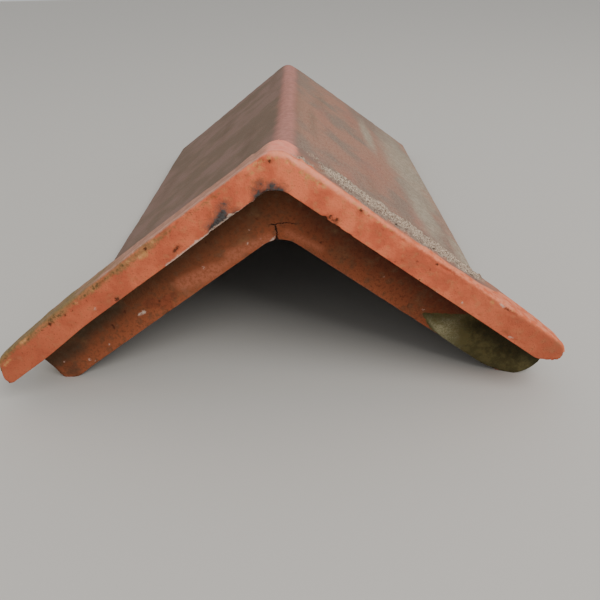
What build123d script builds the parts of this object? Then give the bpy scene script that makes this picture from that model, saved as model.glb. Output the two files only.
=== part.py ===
"""Capped angle ridge tile of fired clay.

Two flat wings meet in a ridge. One end carries a thicker cap with a socket in it, which covers
the plain end of the next tile along the roof. The tile is one piece of clay.

Frame: X across the tile, Y along it from the cap to the plain end, Z up. The origin is on the
bed, at the middle of the tile's width and length.
"""
from build123d import *
from math import cos, radians, sin, tan
import os

# Driving dimensions, in millimetres and degrees
apex_angle = 108  # between the two wings
length = 457  # from the cap's front to the plain end
inner_span = 234  # between the wings' inner edges, on the bed
bed_width = 8  # flat under each wing, before its edges are rounded
body_wall = 17  # square to the slope
cap_wall = 15  # square to the slope, at the cap's front
cap_thinning = 3  # how much less the cap's wall is at its back
cap_length = 40  # from the cap's front to its back, outside
socket_depth = 25  # from the cap's front to the shoulder
socket_clearance = 10  # room for mortar between the cap and the tile that it covers

# Roundings of the clay
ridge_radius = 12  # outside, along the body
underside_radius = 12  # under the ridge
crown_radius = 14  # outside, over the cap
socket_crown_radius = 8.5  # under the cap's crown
wing_edge_radius = 4  # outer edge of each wing's end, along the cap and the body
bed_edge_radius = 2  # both edges of each bed flat
cap_front_radius = 2.5  # around the cap's front
cap_back_radius = 4.5  # along the cap's back
cap_root_radius = 3  # where the cap's back meets the body
socket_edge_radius = 1.5  # inner edge of the cap's front and of its wing ends, and the shoulder's edge
shoulder_root_radius = 2  # where the shoulder meets the cap's underside
plain_end_radius = 1.5  # around the plain end

# Heights of the sharp apexes that the slopes start from
pitch = radians((180 - apex_angle) / 2)
bed_inner = inner_span / 2
bed_outer = bed_inner + bed_width
underside_apex = bed_inner * tan(pitch)
body_apex = underside_apex + body_wall / cos(pitch)
socket_apex = body_apex + socket_clearance / cos(pitch)
cap_front_apex = socket_apex + cap_wall / cos(pitch)
cap_back_apex = cap_front_apex - cap_thinning / cos(pitch)
cap_middle_apex = (cap_front_apex + cap_back_apex) / 2


def station(distance):
    """The section plane at a distance behind the cap's front."""
    return Plane.XZ.offset(length / 2 - distance)


def wing_end(apex):
    """Where a wing's end, cut square to the slope, meets the slope that starts at an apex."""
    run = (apex - bed_outer * tan(pitch)) * cos(pitch)
    return bed_outer + run * sin(pitch), run * cos(pitch)


def both_sides(half):
    """A closed outline from its right half, which starts and ends on the middle plane."""
    mirrored = [(-x, z) for x, z in reversed(half) if x > 0]
    return make_face(Polyline(*half, *mirrored, close=True))


def tile_section(apex):
    """The tile's section from its underside up to the slopes that start at an apex."""
    return both_sides([(0, underside_apex), (bed_inner, 0), (bed_outer, 0), wing_end(apex), (0, apex)])


def socket():
    """Everything under the cap's underside, out past the wings' ends and back to the shoulder."""
    corner_x, _ = wing_end(cap_front_apex)
    corner_z = socket_apex - corner_x * tan(pitch)
    section = both_sides([(0, socket_apex), (corner_x, corner_z), (corner_x, 0), (0, 0)])
    solid = extrude(station(0) * section, -socket_depth)
    return rounded(solid, socket_crown_radius, (socket_depth / 2, 0, socket_apex))


def edges_at(solid, distance, x, z):
    """The edge nearest to a point behind the cap's front, with its twin on the other side."""
    y = distance - length / 2
    return [solid.edges().sort_by_distance((side, y, z))[0] for side in sorted({x, -x})]


def rounded(solid, radius, *places):
    """The solid with the edges at some places rounded, each with those that run on smoothly from it."""
    return fillet([edge for place in places for edge in edges_at(solid, *place)], radius)


def cap_slope(side):
    """The plane of the cap's outside on one side, which falls a little towards the back."""
    down = Vector(side * cos(pitch), 0, -sin(pitch))
    back = Vector(0, cap_length, cap_back_apex - cap_front_apex)
    return Plane(origin=(0, -length / 2, cap_front_apex), x_dir=down, z_dir=down.cross(back) * side)


def cap():
    """The cap's outside, solid down to the tile's underside."""
    solid = extrude(station(0) * tile_section(cap_front_apex), -cap_length)
    for side in (-1, 1):
        solid = split(solid, bisect_by=cap_slope(side), keep=Keep.BOTTOM)
    solid = rounded(solid, crown_radius, (cap_length / 2, 0, cap_middle_apex))
    return rounded(solid, underside_radius, (cap_length / 2, 0, underside_apex))


def body():
    """The body, from inside the cap's back to the plain end."""
    start = (socket_depth + cap_length) / 2
    middle = (start + length) / 2
    solid = extrude(station(start) * tile_section(body_apex), start - length)
    solid = rounded(solid, ridge_radius, (middle, 0, body_apex))
    return rounded(solid, underside_radius, (middle, 0, underside_apex))


def ridge_tile():
    """The whole tile: the cap and the body in one, with the wings' ends rounded and the socket cut."""
    middle = length / 2
    solid = body() + cap()
    solid = rounded(solid, cap_back_radius, (cap_length, 0, cap_back_apex))
    solid = rounded(solid, cap_root_radius, (cap_length, 0, body_apex))
    solid = rounded(solid, wing_edge_radius, (middle, *wing_end(body_apex)))
    solid = rounded(solid, cap_front_radius, (0, 0, cap_front_apex))
    solid -= socket()
    solid = rounded(solid, bed_edge_radius, (middle, bed_inner, 0), (middle, bed_outer, 0))
    lip = (socket_depth / 2, *wing_end(socket_apex))
    solid = rounded(solid, socket_edge_radius, (0, 0, socket_apex), lip, (socket_depth, 0, underside_apex))
    solid = rounded(solid, shoulder_root_radius, (socket_depth, 0, socket_apex))
    return rounded(solid, plain_end_radius, (length, 0, body_apex))


os.makedirs("parts", exist_ok=True)
export_step(ridge_tile(), "parts/ridge_tile.step")
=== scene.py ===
"""Looks of the reclaimed clay ridge tile: its worn shape, its clay, lichen and dirt, and a plain studio.

Lengths in the dataclasses are millimetres in the tile's own frame: X across, Y from the cap's front
to the plain end, Z up from the bed. They become metres where a mesh is built.
"""
import logging
import math
from dataclasses import dataclass, field
from enum import Enum
from itertools import product

import bpy
import numpy as np
from mathutils import Matrix, Vector


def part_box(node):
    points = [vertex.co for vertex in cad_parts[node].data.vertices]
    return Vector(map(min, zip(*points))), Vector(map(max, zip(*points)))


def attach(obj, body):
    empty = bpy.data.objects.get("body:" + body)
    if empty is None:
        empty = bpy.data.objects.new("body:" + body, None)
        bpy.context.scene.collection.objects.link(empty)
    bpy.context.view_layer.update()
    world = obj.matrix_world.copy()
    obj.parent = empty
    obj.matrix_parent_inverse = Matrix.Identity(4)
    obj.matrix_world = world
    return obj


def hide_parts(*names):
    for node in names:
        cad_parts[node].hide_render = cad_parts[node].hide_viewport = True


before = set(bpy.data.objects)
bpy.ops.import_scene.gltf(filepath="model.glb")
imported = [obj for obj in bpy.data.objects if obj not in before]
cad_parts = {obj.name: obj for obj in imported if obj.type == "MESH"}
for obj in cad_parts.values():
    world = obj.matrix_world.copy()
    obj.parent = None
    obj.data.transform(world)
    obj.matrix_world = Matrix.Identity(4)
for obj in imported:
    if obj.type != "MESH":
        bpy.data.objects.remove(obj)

logging.basicConfig(level=logging.INFO, format="%(message)s")
log = logging.getLogger("ridge_tile")

MM = 0.001  # a millimetre, in Blender's metres
FAR = 5  # a mask in millimetres is cut off this far outside its edge
TABLE_SIZE = 4096  # how many random values a noise has, a power of 2
PRIMES = (73856093, 19349663, 83492791)  # stir a lattice corner's X, Y and Z into one number

# The sizes of the clay's patterns, in millimetres: clouds from the kiln, stains, flecks, grit and sand.
# Sand in such clay is 0.2 to 0.5 mm. It is drawn as 0.8 mm, because finer sand doesn't show.
NOISE_SIZES = (60, 14, 4, 1.6, 0.8)

Array = np.ndarray
Fields = dict[str, Array]
Pairs = tuple[tuple[float, float], ...]
Socket = bpy.types.NodeSocket


# Small mathematics

def smoothstep(low: float, high: float, value: Array) -> Array:
    """Rises from 0 at low to 1 at high along 3t^2 - 2t^3."""
    t = np.clip((value - low) / (high - low), 0, 1)
    return t * t * (3 - 2 * t)


def lattice_noise(points: Array, size: float, seed: int) -> Array:
    """Smooth noise from 0 to 1 with bumps about one size apart.

    Random values stand at the corners of a cubic lattice with that pitch. Between the corners they
    blend by 3t^2 - 2t^3 in each direction.

    Args:
        points: One row of X, Y and Z per point.
        size: The lattice's pitch, in the points' unit.
        seed: The number that the random values start from.

    Returns:
        One value per point.
    """
    table = np.random.default_rng(seed).random(TABLE_SIZE)
    cell = points / size
    base = np.floor(cell).astype(np.int64)
    part = cell - base
    part = part * part * (3 - 2 * part)
    value = np.zeros(len(points))
    for corner in product((0, 1), repeat=3):
        index = (base + np.array(corner)) * np.array(PRIMES)
        slot = (index[:, 0] ^ index[:, 1] ^ index[:, 2]) & (TABLE_SIZE - 1)
        weight = np.prod(np.where(np.array(corner) == 1, part, 1 - part), axis=1)
        value += table[slot] * weight
    return value


def segment_distance(points: Array, start: Array, end: Array) -> Array:
    """How far each point is from the straight segment between start and end.

    The nearest place on the segment is at the share (p - start) . (end - start) / |end - start|^2
    of its length, held between 0 and 1.

    Args:
        points: One row of X, Y and Z per point.
        start: The segment's first end.
        end: Its other end.

    Returns:
        One distance per point.
    """
    along = end - start
    share = np.clip((points - start) @ along / max(float(along @ along), 1e-9), 0, 1)
    return np.linalg.norm(points - start - share[:, None] * along, axis=1)


def rounded_square_corner(first: Array, second: Array, radius: Array) -> tuple[Array, Array]:
    """Turns a square corner into a quarter circle.

    With u = R - first and v = R - second, both are scaled by max(u, v) / sqrt(u^2 + v^2), which
    maps the square of side R in the corner on to a quarter disc. Points outside that square stay.

    Args:
        first: How deep each point lies below the corner's first face.
        second: How deep it lies below the second face.
        radius: The rounding R at each point.

    Returns:
        The new depths below the two faces.
    """
    u, v = np.maximum(radius - first, 0), np.maximum(radius - second, 0)
    far = np.hypot(u, v)
    scale = np.where(far > 1e-9, np.maximum(u, v) / np.maximum(far, 1e-9), 1)
    return np.where(u > 0, radius - u * scale, first), np.where(v > 0, radius - v * scale, second)


def soft_floor(height: Array, width: float) -> Array:
    """The height where it is above 0, and 0 below, with (h + w)^2 / 4w between -w and w."""
    between = (height + width) ** 2 / (4 * width)
    return np.where(height > width, height, np.where(height < -width, 0, between))


def clipped(inside: Array, deepest: float = FAR) -> Array:
    """A mask in millimetres, cut off FAR outside its edge and at the deepest value inside it."""
    return np.clip(inside, -FAR, deepest)


# The tile's shape

@dataclass(frozen=True)
class TileSize:
    """The tile's real sizes, as the CAD part has them.

    Lengths are millimetres. Levels are heights above the underside, square to the slope.

    Attributes:
        pitch: The slope of the wings, in degrees.
        length: From the cap's front to the plain end.
        inner_half: Half the clear width between the wings, on the bed.
        bed_width: The flat that each wing stands on.
        body_level: The body's outside.
        socket_level: The cap's underside.
        cap_front_level: The cap's outside at its front.
        cap_back_level: The cap's outside at its back.
        cap_length: From the cap's front to its back.
        socket_depth: From the cap's front to the shoulder.
        front_radius: The rounding around the cap's front.
        back_radius: The rounding along the cap's back.
        root_radius: The rounding where the cap's back meets the body.
        end_radius: The rounding around the plain end.
    """

    pitch: float = 36
    length: float = 457
    inner_half: float = 117
    bed_width: float = 8
    body_level: float = 17
    socket_level: float = 27
    cap_front_level: float = 42
    cap_back_level: float = 39
    cap_length: float = 40
    socket_depth: float = 25
    front_radius: float = 2.5
    back_radius: float = 4.5
    root_radius: float = 3
    end_radius: float = 1.5


class Plane(Enum):
    """The flat faces that the photo shows marks on, by their distance behind the cap's front."""

    FACE = 0.0
    SHOULDER = 25.0


@dataclass(frozen=True)
class Mark:
    """A stroke of dirt, lime or wear along a segment of one flat face.

    Attributes:
        plane: The face that it lies on.
        start: The segment's first end, as X and Z.
        end: The segment's other end.
        reach: How far it spreads to each side.
        depth: How much clay is missing in it.
    """

    plane: Plane
    start: tuple[float, float]
    end: tuple[float, float]
    reach: float
    depth: float = 0

    def inside(self, points: Array, length: float) -> Array:
        """How far each point is inside the stroke's edge, and less than 0 outside it.

        Args:
            points: One row of X, Y and Z per point.
            length: The tile's length.

        Returns:
            One value per point, in millimetres.
        """
        y = self.plane.value - length / 2
        start = np.array([self.start[0], y, self.start[1]])
        end = np.array([self.end[0], y, self.end[1]])
        return self.reach - segment_distance(points, start, end)


def spots(plane: Plane, depth: float, *places: tuple[float, float, float]) -> tuple[Mark, ...]:
    """Round marks, each from its X, its Z and its reach."""
    return tuple(Mark(plane, (x, z), (x, z), reach, depth) for x, z, reach in places)


def strokes(plane: Plane, depth: float, reach: float, *places: tuple[float, float]) -> tuple[Mark, ...]:
    """Marks along a broken line through some places."""
    return tuple(Mark(plane, a, b, reach, depth) for a, b in zip(places, places[1:]))


@dataclass(frozen=True)
class Patch:
    """An oval of another colour on the outside, seen from above.

    Attributes:
        x: Its middle across the tile.
        y: Its middle behind the cap's front.
        half_x: Half its size across.
        half_y: Half its size along.
    """

    x: float
    y: float
    half_x: float
    half_y: float

    def inside(self, points: Array, length: float) -> Array:
        """1 in the middle, 0 on the edge and less than 0 outside it.

        Args:
            points: One row of X, Y and Z per point.
            length: The tile's length.

        Returns:
            One value per point.
        """
        across = (points[:, 0] - self.x) / self.half_x
        along = (points[:, 1] + length / 2 - self.y) / self.half_y
        return 1 - np.hypot(across, along)


FACE, SHOULDER = Plane.FACE, Plane.SHOULDER

# Where the photo shows marks. The names are those of the masks that the clay's colours read. After the
# face comes the depth, and for strokes the reach.
MARKS = {
    "soot": (
        *strokes(FACE, 0, 2.2, (-29.4, 99.4), (-26, 102.6), (-22, 104.4)),
        *strokes(FACE, 0, 1, (-22, 104.6), (-17.6, 106.6)),
        *strokes(FACE, 0, 1.9, (-26.4, 102.6), (-24, 106.6)), *spots(FACE, 0, (-23, 110.6, 1), (-24.8, 109.2, 0.8)),
        *strokes(FACE, 0, 1.4, (-9, 112.6), (-7, 116.6)), *spots(FACE, 0, (-6.2, 119.2, 1), (-8.4, 117, 1)),
        *strokes(FACE, 0, 2, (-5.4, 115.2), (2, 116)), *spots(FACE, 0, (-1.8, 118.4, 1.8), (1, 117.4, 1.6)),
    ),
    "brown": (
        *spots(
            FACE, 0, (-2.2, 129.6, 1.6), (-7.5, 120.4, 2), (-4.4, 121, 1.4), (-40, 106.2, 1.2), (-51, 98.8, 1.2),
            (-29.5, 105.5, 1.5), (-19.8, 108.3, 1.4), (111, 42, 1.6), (-7, 127.6, 1.2), (-12, 123.6, 1),
            (-84, 72.5, 1.6), (-97, 62.4, 1.3), (23, 102.6, 2.4), (26.2, 101.4, 2.2), (25.6, 98.8, 1.4),
            (37.4, 106.4, 1.5), (-10, 117, 1.6),
        ),
        *strokes(FACE, 0, 1.2, (-48.4, 87.4), (-45.4, 90.6)),
    ),
    "lime": (
        *strokes(FACE, 0, 0.7, (-52, 81), (-40, 89.6)), *strokes(FACE, 0, 1, (-40, 89.6), (-29, 97.4)),
        *strokes(FACE, 0, 1.4, (-29, 97.6), (-16.6, 106)), *spots(FACE, 0, (-20.6, 104.8, 1.5), (-37, 93, 1)),
        *strokes(FACE, 0, 0.8, (-16, 106.6), (-9.4, 111)), *strokes(FACE, 0, 0.9, (-8.4, 111.8), (-3.2, 115)),
        *strokes(SHOULDER, 0, 0.7, (-4.6, 81.4), (-2.6, 83.4)), *strokes(SHOULDER, 0, 0.3, (-28, 64.2), (-6, 80)),
        *spots(FACE, 0, (-46, 86, 0.7), (-89.3, 58.8, 0.6), (-89.8, 57.6, 0.4)),
        *spots(FACE, 0, (74.8, 64.6, 0.5), (87.4, 58.8, 0.6)),
        *strokes(FACE, 0, 0.7, (106.4, 57.6), (108, 56)), *strokes(FACE, 0, 0.45, (113, 38.6), (115.2, 37.8)),
        *strokes(SHOULDER, 0, 0.8, (-77, 40), (-74.8, 41)),
        *spots(
            SHOULDER, 0, (-74, 41.6, 1.2), (-39.8, 67.6, 0.8), (-16.4, 80.4, 0.6), (-123, 10.2, 0.7),
            (-108.8, 11.4, 0.9), (-105.8, 10.6, 0.5), (-96, 21, 0.7), (-9.8, 83, 0.4), (-15, 87.8, 0.5),
            (-8.6, 79.2, 0.4), (-14.6, 76, 0.4), (53, 60.6, 0.4), (74.6, 40.4, 0.6),
        ),
    ),
    "buff": (
        *spots(
            FACE, 0, (-11.4, 126.8, 0.8), (-8.6, 128.4, 1), (-5.8, 129.4, 0.8), (-2.4, 131, 0.7), (1, 130.8, 0.7),
            (5.4, 129.2, 0.8), (8, 128, 0.6), (11.4, 124.2, 0.9), (14, 122.4, 1.2), (16.4, 121.2, 0.9),
            (18.6, 119.6, 1), (21, 118, 0.9), (34.6, 110, 0.6), (36.8, 108, 0.8), (39.6, 105.6, 0.7),
            (42.4, 103.4, 0.8), (45.4, 101, 0.6), (48.4, 98.8, 0.7), (51.4, 96.8, 0.5), (28, 115.4, 0.6),
            (-6.6, 126.6, 0.7), (-9.8, 124.4, 0.8), (-61, 87, 1.2), (-70, 83.2, 0.7), (102, 58.6, 0.8),
            (-57, 93.4, 0.7), (-98, 62, 0.6), (-89, 68.6, 0.6), (117, 52.4, 0.8), (113.6, 54, 0.8),
        ),
        *strokes(FACE, 0, 0.5, (-142, 26), (-138.4, 29.4)), *strokes(FACE, 0, 0.8, (-130.6, 39.6), (-127.6, 41.6)),
        *strokes(FACE, 0, 0.9, (-63.6, 85.4), (-61.4, 87)),
    ),
    "pit": (
        *spots(
            FACE, 0.8, (21.6, 103.4, 0.8), (23.4, 103.6, 0.7), (24.8, 102.4, 0.8), (26.2, 101.8, 0.9),
            (26.9, 102.6, 0.7), (25.8, 99.9, 0.7), (24.2, 104.2, 0.6), (37.4, 106.6, 0.9),
        ),
        *spots(
            FACE, 0.5, (32.8, 94.4, 0.7), (41, 104.2, 0.5), (47.5, 97.3, 0.5), (64.4, 81, 0.6), (66, 71.4, 0.5),
            (53.8, 81.2, 0.5), (70.4, 76.8, 0.4), (83.2, 65.4, 0.5), (73.4, 79.4, 0.7), (60.6, 78, 0.4),
            (-2.2, 129.4, 0.8), (-3.4, 132, 0.5), (-38.4, 107.4, 0.8), (-50.2, 99.8, 0.8),
        ),
        *spots(FACE, 0.7, (-60.9, 89.7, 1.1), (-78.2, 63.4, 1.3), (-113.6, 50, 1.2), (-111.8, 51.2, 0.8)),
        *spots(FACE, 0.6, (-67.4, 69, 0.9), (-105, 55, 0.8), (-118, 46.6, 0.7), (-101, 57.6, 0.6), (-93, 62.8, 0.6)),
        *strokes(FACE, 0.5, 0.7, (-48, 88), (-45.6, 90.4)), *strokes(FACE, 0.6, 0.7, (109, 55), (111.4, 53.8)),
        *spots(SHOULDER, 0.6, (-37.4, 81.6, 0.9), (-11, 93.6, 0.8), (20.4, 80.2, 0.8), (-84.4, 41.8, 0.9)),
        *strokes(SHOULDER, 0.4, 0.7, (-92.6, 34), (-91.6, 31.4)), *spots(SHOULDER, 0.5, (-65, 47.8, 0.9)),
    ),
    "raw": (
        *strokes(SHOULDER, 0, 3, (-26, 74.4), (-6, 83)), *strokes(SHOULDER, 0, 4.4, (-51.6, 58), (-34, 66)),
        *strokes(SHOULDER, 0, 0.8, (-57, 58.4), (-48.6, 51.4)), *strokes(SHOULDER, 0, 2.4, (-36, 65), (-20, 75)),
        *strokes(SHOULDER, 0, 2.2, (4, 86), (20, 77)),
    ),
    "damp": (
        *strokes(SHOULDER, 0, 4.6, (-110, 28), (-88, 44)), *strokes(SHOULDER, 0, 5, (-130, 10), (-114, 20)),
        *spots(SHOULDER, 0, (-119, 4, 5)),
    ),
    "flake": (
        *strokes(SHOULDER, 0.5, 3, (-71, 46.6), (-61, 45.6)), *strokes(SHOULDER, 0.5, 2, (-62, 49), (-57, 51.4)),
    ),
}

# Nicks in the arrises. They change the shape and have no colour of their own.
NICKS = (
    *strokes(FACE, 0.5, 1.1, (-44, 87.4), (-30, 97.2)), *strokes(FACE, 0.8, 1.5, (-30, 97.4), (-18, 105.6)),
    *strokes(FACE, 0.5, 1.2, (-17, 106.6), (-11, 110.6)), *strokes(FACE, 0.8, 1.4, (-8.4, 112.4), (-3.6, 115.6)),
    *strokes(FACE, 0.6, 1.3, (112, 38.8), (116, 36)), *strokes(FACE, 0.5, 1, (-92, 54.6), (-88, 57.4)),
    *spots(FACE, 0.6, (21, 103.2, 1.4), (27, 98.4, 1.2), (31.8, 94.6, 1.2), (44.6, 85.2, 1), (57, 81, 1.2)),
    *spots(FACE, 0.6, (96.4, 51.4, 1.3), (-68, 73.2, 1.4), (-104, 46.6, 1.2), (-57, 80.6, 1)),
    *strokes(SHOULDER, 1, 1.2, (-1.9, 81), (-1.5, 84.5)), *strokes(SHOULDER, 0.4, 0.9, (-27, 67), (-24, 69)),
    *strokes(SHOULDER, 0.3, 0.9, (-64, 39), (-58, 43.4)), *strokes(SHOULDER, 0.4, 0.9, (66, 37), (71, 33.4)),
)

# Where the outside has another colour, on the body and on the cap. The names are masks too.
BODY_PATCHES = {
    "red": (
        Patch(43, 147, 9, 44), Patch(64, 203, 14, 60), Patch(96, 164, 9, 44), Patch(74, 232, 9, 50),
        Patch(30, 284, 9, 60), Patch(48, 60, 12, 34), Patch(24, 110, 8, 50), Patch(60, 380, 12, 60),
    ),
    "grey": (
        Patch(112, 330, 30, 170), Patch(106, 200, 16, 80), Patch(126, 120, 10, 90), Patch(76, 350, 9, 80),
    ),
    "dark": (
        Patch(62, 176, 7, 50), Patch(20, 232, 5, 80), Patch(30, 345, 10, 70), Patch(-112, 272, 12, 70),
        Patch(-62, 350, 10, 80), Patch(-30, 210, 7, 70), Patch(88, 100, 10, 50), Patch(-70, 100, 18, 60),
        Patch(-126, 140, 8, 90), Patch(-18, 400, 6, 60),
    ),
}
CAP_PATCHES = {
    "hole": (
        Patch(73, 9.5, 3.2, 1.2), Patch(76.4, 11, 1.6, 1), Patch(85, 11.5, 2.6, 1.1), Patch(93.5, 12, 2.8, 1.3),
        Patch(96, 10.4, 1.4, 1), Patch(54.5, 7.5, 1.8, 1.1), Patch(57.6, 10, 1.8, 1), Patch(19.5, 13, 1.4, 1.8),
    ),
}


@dataclass(frozen=True)
class Outline:
    """The tile's lengthwise outline: a closed run of points, each a distance and a level.

    Attributes:
        distance: Behind the cap's front.
        level: Above the underside, square to the slope.
        half: How many steps each half has, from the front's middle to the plain end's middle.
    """

    distance: Array
    level: Array
    half: int

    def normal(self) -> tuple[Array, Array]:
        """The outward direction at each point, square to the line between its two neighbours.

        Returns:
            Its shares along the tile and square to the slope.
        """
        dy = np.roll(self.distance, -1) - np.roll(self.distance, 1)
        dn = np.roll(self.level, -1) - np.roll(self.level, 1)
        size = np.maximum(np.hypot(dy, dn), 1e-9)
        return -dn / size, dy / size


@dataclass(frozen=True)
class Corner:
    """A corner of the outline and the run that leads to it.

    Attributes:
        place: Its distance and level before rounding.
        radius: Its rounding.
        run: How many steps the straight run before it has.
        turn: How many steps its arc has.
        growth: How much longer the run's last step is than its mean, as a share.
    """

    place: tuple[float, float]
    radius: float
    run: int
    turn: int
    growth: float = 0


def rounded_run(
    start: tuple[float, float], corners: list[Corner], end: tuple[float, float], last: int,
) -> Array:
    """Points along straight runs joined by arcs, from start to end, with both ends.

    An arc of radius R in a corner of angle a begins R / tan(a / 2) before it, and its middle is
    R / sin(a / 2) away on the bisector. A point at the angle b of an arc that turns by c is its
    first point times sin(c - b) / sin(c) plus its last one times sin(b) / sin(c), from its middle.

    Args:
        start: The first point.
        corners: The corners in order.
        end: The last point.
        last: How many steps the last straight run has.

    Returns:
        One row per point.
    """
    places = [np.array(p, float) for p in (start, *(c.place for c in corners), end)]
    points, here = [places[0][None]], places[0]
    for i, corner in enumerate(corners, start=1):
        back, ahead = places[i - 1] - places[i], places[i + 1] - places[i]
        back, ahead = back / np.linalg.norm(back), ahead / np.linalg.norm(ahead)
        half_angle = math.acos(np.clip(back @ ahead, -1, 1)) / 2
        reach = corner.radius / math.tan(half_angle)
        bisector = (back + ahead) / np.linalg.norm(back + ahead)
        middle = places[i] + bisector * corner.radius / math.sin(half_angle)
        first, second = places[i] + back * reach, places[i] + ahead * reach
        share = np.linspace(0, 1, corner.run + 1)[1:, None]
        share = share * (1 - corner.growth) + share ** 2 * corner.growth
        points.append(here + (first - here) * share)
        turn = math.pi - 2 * half_angle
        step = np.linspace(0, 1, corner.turn + 1)[1:, None] * turn
        arc = (first - middle) * np.sin(turn - step) + (second - middle) * np.sin(step)
        points.append(middle + arc / math.sin(turn))
        here = second
    share = np.linspace(0, 1, last + 1)[1:, None]
    points.append(here + (places[-1] - here) * share)
    return np.vstack(points)


@dataclass
class RidgeTile:
    """The whole tile as one closed grid, before wear, uneven as the photo shows it.

    The lengthwise outline is carried across the two wings. Column t, from -1 at the left wing's
    end to 1 at the right one's, puts the outline's point (distance y, level n) at
    x = t * X(n), z = A(n) - tan(pitch) * r(x), where X(n) is the wing's end at that level, A(n)
    the sharp apex of the slope at that level, and r(x) is |x| with its corner turned into an arc.

    Attributes:
        size: The tile's real sizes.
        columns: How many columns each wing has.
        front_row: How many steps of the outline go around the cap's front.
        body_run: How many steps the body has, outside and underneath.
        body_growth: How much longer the body's last step is than its mean, as a share.
        crowding: How much closer than the mean the columns are at the ridge, as a share.
        lip_extra: How much longer than the square cut the left and right lips are.
        lip_radius: The rounding of each lip's upper corner, left and right.
        lip_under: The rounding of each lip's lower corner, left and right.
        wing_radius: The rounding of the body's wing ends.
        right_lip_floor: The height of the right lip's flat underside.
        left_reach: The farthest that the left lip may go from the middle.
        left_sag: How much lower than its slope the left lip's underside hangs towards its tip.
        fall: How steeply the cap's outside falls behind its crest.
        crest: Where the crest lies: X, and the distance behind the cap's front.
        wall: The cap wall's thickness: X, and a share of the even one.
        bend: The ridge's bend: the distance behind the cap's front, and the way to the right.
    """

    size: TileSize = field(default_factory=TileSize)
    columns: int = 160
    front_row: int = 26
    body_run: int = 71
    body_growth: float = 0.56
    crowding: float = 0.2
    lip_extra: tuple[float, float] = (8.5, 1.2)
    lip_radius: tuple[float, float] = (10, 10.5)
    lip_under: tuple[float, float] = (4.6, 4.5)
    wing_radius: float = 4
    right_lip_floor: float = 24.9
    left_reach: float = 145.1
    left_sag: float = 1.6
    fall: float = 0.28
    crest: Pairs = (
        (-146, 6), (-140, 8), (-130, 13), (-120, 19), (-110, 23), (-90, 23), (-60, 20), (-20, 18), (-8, 24),
        (0, 31), (8, 33), (40, 33), (60, 32), (80, 29), (100, 26), (110, 23), (120, 21), (130, 18), (140, 11),
        (146, 5),
    )
    wall: Pairs = (
        (-146, 0.83), (-140, 0.88), (-130, 0.95), (-120, 0.98), (-110, 1), (100, 1), (110, 1.02), (130, 1.02),
        (146, 1),
    )
    bend: Pairs = (
        (0, 0), (60, 0.2), (140, 1.4), (180, 1.9), (215, 2), (285, 1.8), (340, 0.9), (400, -1), (457, -3.4),
    )

    def outline(self) -> Outline:
        """The outline from the front's middle over the cap and the ridge, and back underneath.

        Returns:
            The closed run of points, each once.
        """
        s, body = self.size, (self.body_run, 3, self.body_growth)
        middle = (0, (s.cap_front_level + s.socket_level) / 2)
        end_middle = (s.length, s.body_level / 2)
        over = [
            Corner((0, s.cap_front_level), s.front_radius, 8, 5),
            Corner((s.cap_length, s.cap_back_level), s.back_radius, 28, 6),
            Corner((s.cap_length, s.body_level), s.root_radius, 9, 4),
            Corner((s.length, s.body_level), s.end_radius, *body),
        ]
        under = [
            Corner((0, s.socket_level), 0.7, 9, 4),  # the face's lower edge
            Corner((s.socket_depth, s.socket_level), 2, 15, 4),  # the shoulder's root
            Corner((s.socket_depth, 0), 0.9, 24, 4),  # the shoulder's edge
            Corner((s.length, 0), s.end_radius, *body),
        ]
        upper, lower = (rounded_run(middle, corners, end_middle, 8) for corners in (over, under))
        ring = np.vstack([upper, lower[-2:0:-1]])
        return Outline(ring[:, 0], ring[:, 1], len(upper) - 1)

    def grid(self) -> tuple[Fields, list[list[int]]]:
        """All vertices by column, distance and level, with the faces that join them.

        Returns:
            The vertices' fields, and the faces as vertex numbers. The fields are the distance y,
            the level n, the outward direction's shares ny and nn along both, the column t, and
            end, which is 1 on the flat wing ends and 0 elsewhere.
        """
        ring = self.outline()
        ny, nn = ring.normal()
        count, wide = len(ring.distance), 2 * self.columns + 1
        even = np.linspace(-1, 1, wide)
        column = even * (1 - self.crowding + self.crowding * np.abs(even))
        rows = {"y": ring.distance, "n": ring.level, "ny": ny, "nn": nn}
        fields = {key: np.repeat(values, wide) for key, values in rows.items()}
        fields |= {"t": np.tile(column, count), "end": np.zeros(count * wide)}
        number = np.arange(count * wide).reshape(count, wide)
        nxt = np.roll(number, -1, axis=0)
        quads = [np.stack([number[:, :-1], number[:, 1:], nxt[:, 1:], nxt[:, :-1]], axis=-1).reshape(-1, 4)]
        for sign, edge in ((-1, 0), (1, wide - 1)):
            patch, inner = self.end_patch(ring, number[:, edge], len(fields["y"]))
            inner["t"] = np.full(len(inner["y"]), float(sign))
            fields = {key: np.concatenate([values, inner[key]]) for key, values in fields.items()}
            a, b, c, d = patch[:-1, :-1], patch[1:, :-1], patch[1:, 1:], patch[:-1, 1:]
            order = (a, b, c, d) if sign < 0 else (a, d, c, b)
            quads.append(np.stack(order, axis=-1).reshape(-1, 4))
        return fields, np.vstack(quads).tolist()

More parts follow.
